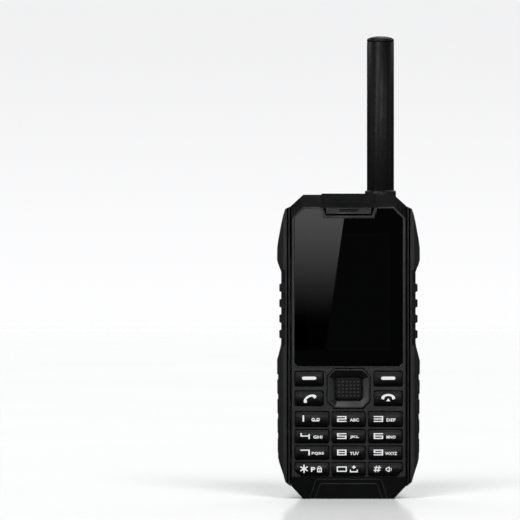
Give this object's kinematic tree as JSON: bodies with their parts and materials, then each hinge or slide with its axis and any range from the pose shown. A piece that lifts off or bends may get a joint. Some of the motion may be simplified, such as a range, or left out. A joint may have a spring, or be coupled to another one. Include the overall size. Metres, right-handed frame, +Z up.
{
  "type": "satellite phone",
  "caption": "Rugged handheld satellite phone with keypad, display, rubber side bumpers, screw-on antenna and hinged battery cover.",
  "frame": {"origin": "middle of the bounding box, at the flat base", "axes": "+Z up along the phone and its antenna, +X to the viewer's right when the keys face the viewer, the keys and the display face -Y"},
  "size_m": [0.064, 0.026, 0.208],
  "materials": {
    "shell": "fine matt grain",
    "cover": "fine matt grain",
    "bumper_rubber": "matt, slightly soft",
    "flap_rubber": "matt",
    "trim": "satin",
    "collar": "satin",
    "antenna_plastic": "satin",
    "key_plastic": "satin with white legends",
    "nav_plastic": "satin",
    "lens_glass": "polished, printed black behind",
    "display": "polished",
    "mesh": "black",
    "steel": "bright",
    "component_black": "matt",
    "silicone": "translucent grey",
    "gasket": "orange silicone",
    "brass_parts": "gold plated",
    "board": "solder mask",
    "patch_ceramic": "fired",
    "battery": "shrink label",
    "former": "moulded"
  },
  "bodies": {
    "phone": {"front_housing": "shell", "rear_housing": "shell", "housing_seal": "silicone", "housing_screws": "steel", "bumper_left": "bumper_rubber", "bumper_right": "bumper_rubber", "display_lens": "lens_glass", "lcd_panel": "display", "lcd_frame": "steel", "earpiece_trim": "trim", "earpiece_mesh": "mesh", "earpiece_receiver": "component_black", "chin_plate": "trim", "keypad_membrane": "silicone", "key_domes": "brass_parts", "main_board": "board", "shield_cans": "steel", "satellite_modem": "steel", "gnss_antenna": "patch_ceramic", "sim_holder": "steel", "microphone": "steel", "usb_connector": "steel", "loudspeaker": "component_black", "vibration_motor": "steel", "battery_pack": "battery", "battery_contacts": "component_black", "antenna_socket": "brass_parts"},
    "key_soft_left": {"key_soft_left": "key_plastic"},
    "key_soft_right": {"key_soft_right": "key_plastic"},
    "key_call": {"key_call": "key_plastic"},
    "key_end": {"key_end": "key_plastic"},
    "key_1": {"key_1": "key_plastic"},
    "key_2": {"key_2": "key_plastic"},
    "key_3": {"key_3": "key_plastic"},
    "key_4": {"key_4": "key_plastic"},
    "key_5": {"key_5": "key_plastic"},
    "key_6": {"key_6": "key_plastic"},
    "key_7": {"key_7": "key_plastic"},
    "key_8": {"key_8": "key_plastic"},
    "key_9": {"key_9": "key_plastic"},
    "key_star": {"key_star": "key_plastic"},
    "key_0": {"key_0": "key_plastic"},
    "key_hash": {"key_hash": "key_plastic"},
    "nav_select": {"nav_select": "key_plastic"},
    "nav_pad": {"nav_pad": "silicone"},
    "nav_ring": {"nav_ring": "nav_plastic"},
    "cover": {"battery_cover": "cover", "cover_gasket": "gasket"},
    "lock_screw_left": {"lock_screw_left": "steel"},
    "lock_ring_left": {"lock_ring_left": "steel"},
    "lock_screw_right": {"lock_screw_right": "steel"},
    "lock_ring_right": {"lock_ring_right": "steel"},
    "usb_flap": {"usb_flap": "flap_rubber"},
    "antenna_lift": {"antenna_seal": "gasket"},
    "antenna": {"antenna_tube": "antenna_plastic", "antenna_cap": "antenna_plastic", "antenna_collar": "collar", "helix_former": "former", "helix_strips": "brass_parts", "antenna_plug": "brass_parts"}
  },
  "joints": [
    {"name": "key_soft_left_press", "type": "slide", "parent": "phone", "child": "key_soft_left", "axis": [0, 1, 0], "range_m": [0, 0.00045], "stiffness_N_per_m": 600, "springref_m": -0.0008},
    {"name": "key_soft_right_press", "type": "slide", "parent": "phone", "child": "key_soft_right", "axis": [0, 1, 0], "range_m": [0, 0.00045], "stiffness_N_per_m": 600, "springref_m": -0.0008},
    {"name": "key_call_press", "type": "slide", "parent": "phone", "child": "key_call", "axis": [0, 1, 0], "range_m": [0, 0.00045], "stiffness_N_per_m": 600, "springref_m": -0.0008},
    {"name": "key_end_press", "type": "slide", "parent": "phone", "child": "key_end", "axis": [0, 1, 0], "range_m": [0, 0.00045], "stiffness_N_per_m": 600, "springref_m": -0.0008},
    {"name": "key_1_press", "type": "slide", "parent": "phone", "child": "key_1", "axis": [0, 1, 0], "range_m": [0, 0.00045], "stiffness_N_per_m": 600, "springref_m": -0.0008},
    {"name": "key_2_press", "type": "slide", "parent": "phone", "child": "key_2", "axis": [0, 1, 0], "range_m": [0, 0.00045], "stiffness_N_per_m": 600, "springref_m": -0.0008},
    {"name": "key_3_press", "type": "slide", "parent": "phone", "child": "key_3", "axis": [0, 1, 0], "range_m": [0, 0.00045], "stiffness_N_per_m": 600, "springref_m": -0.0008},
    {"name": "key_4_press", "type": "slide", "parent": "phone", "child": "key_4", "axis": [0, 1, 0], "range_m": [0, 0.00045], "stiffness_N_per_m": 600, "springref_m": -0.0008},
    {"name": "key_5_press", "type": "slide", "parent": "phone", "child": "key_5", "axis": [0, 1, 0], "range_m": [0, 0.00045], "stiffness_N_per_m": 600, "springref_m": -0.0008},
    {"name": "key_6_press", "type": "slide", "parent": "phone", "child": "key_6", "axis": [0, 1, 0], "range_m": [0, 0.00045], "stiffness_N_per_m": 600, "springref_m": -0.0008},
    {"name": "key_7_press", "type": "slide", "parent": "phone", "child": "key_7", "axis": [0, 1, 0], "range_m": [0, 0.00045], "stiffness_N_per_m": 600, "springref_m": -0.0008},
    {"name": "key_8_press", "type": "slide", "parent": "phone", "child": "key_8", "axis": [0, 1, 0], "range_m": [0, 0.00045], "stiffness_N_per_m": 600, "springref_m": -0.0008},
    {"name": "key_9_press", "type": "slide", "parent": "phone", "child": "key_9", "axis": [0, 1, 0], "range_m": [0, 0.00045], "stiffness_N_per_m": 600, "springref_m": -0.0008},
    {"name": "key_star_press", "type": "slide", "parent": "phone", "child": "key_star", "axis": [0, 1, 0], "range_m": [0, 0.00045], "stiffness_N_per_m": 600, "springref_m": -0.0008},
    {"name": "key_0_press", "type": "slide", "parent": "phone", "child": "key_0", "axis": [0, 1, 0], "range_m": [0, 0.00045], "stiffness_N_per_m": 600, "springref_m": -0.0008},
    {"name": "key_hash_press", "type": "slide", "parent": "phone", "child": "key_hash", "axis": [0, 1, 0], "range_m": [0, 0.00045], "stiffness_N_per_m": 600, "springref_m": -0.0008},
    {"name": "nav_select_press", "type": "slide", "parent": "phone", "child": "nav_select", "axis": [0, 1, 0], "range_m": [0, 0.00045], "stiffness_N_per_m": 600, "springref_m": -0.0008},
    {"name": "nav_left_right", "type": "hinge", "parent": "phone", "child": "nav_pad", "pos_m": [0, -0.00975, 0.0495], "axis": [0, 0, 1], "range_deg": [-2, 2], "stiffness_Nm_per_rad": 0.05},
    {"name": "nav_up_down", "type": "hinge", "parent": "nav_pad", "child": "nav_ring", "pos_m": [0, -0.00975, 0.0495], "axis": [1, 0, 0], "range_deg": [-2, 2], "stiffness_Nm_per_rad": 0.05},
    {"name": "cover_open", "type": "hinge", "parent": "phone", "child": "cover", "pos_m": [0, 0.0093, 0.1068], "axis": [1, 0, 0], "range_deg": [0, 40]},
    {"name": "lock_left_turn", "type": "hinge", "parent": "cover", "child": "lock_screw_left", "pos_m": [-0.017, 0.0121, 0.0197], "axis": [0, 1, 0], "range_deg": [0, 1080]},
    {"name": "ring_left_fold", "type": "hinge", "parent": "lock_screw_left", "child": "lock_ring_left", "pos_m": [-0.017, 0.0122, 0.0197], "axis": [1, 0, 0], "range_deg": [0, 100]},
    {"name": "lock_right_turn", "type": "hinge", "parent": "cover", "child": "lock_screw_right", "pos_m": [0.017, 0.0121, 0.0197], "axis": [0, 1, 0], "range_deg": [0, 1080]},
    {"name": "ring_right_fold", "type": "hinge", "parent": "lock_screw_right", "child": "lock_ring_right", "pos_m": [0.017, 0.0122, 0.0197], "axis": [1, 0, 0], "range_deg": [0, 100]},
    {"name": "usb_flap_open", "type": "hinge", "parent": "phone", "child": "usb_flap", "pos_m": [0, -0.0035, 0.00075], "axis": [1, 0, 0], "range_deg": [0, 110], "stiffness_Nm_per_rad": 0.0005, "springref_deg": -11.46},
    {"name": "antenna_rise", "type": "slide", "parent": "phone", "child": "antenna_lift", "axis": [0, 0, 1], "range_m": [0, 0.008]},
    {"name": "antenna_turn", "type": "hinge", "parent": "antenna_lift", "child": "antenna", "pos_m": [0.0146, 0.0045, 0.1347], "axis": [0, 0, 1], "range_deg": [0, 2880]}
  ],
  "couplings": [
    {"joint": "antenna_turn", "follows": "antenna_rise", "rad_per_m": 6283.2}
  ]
}
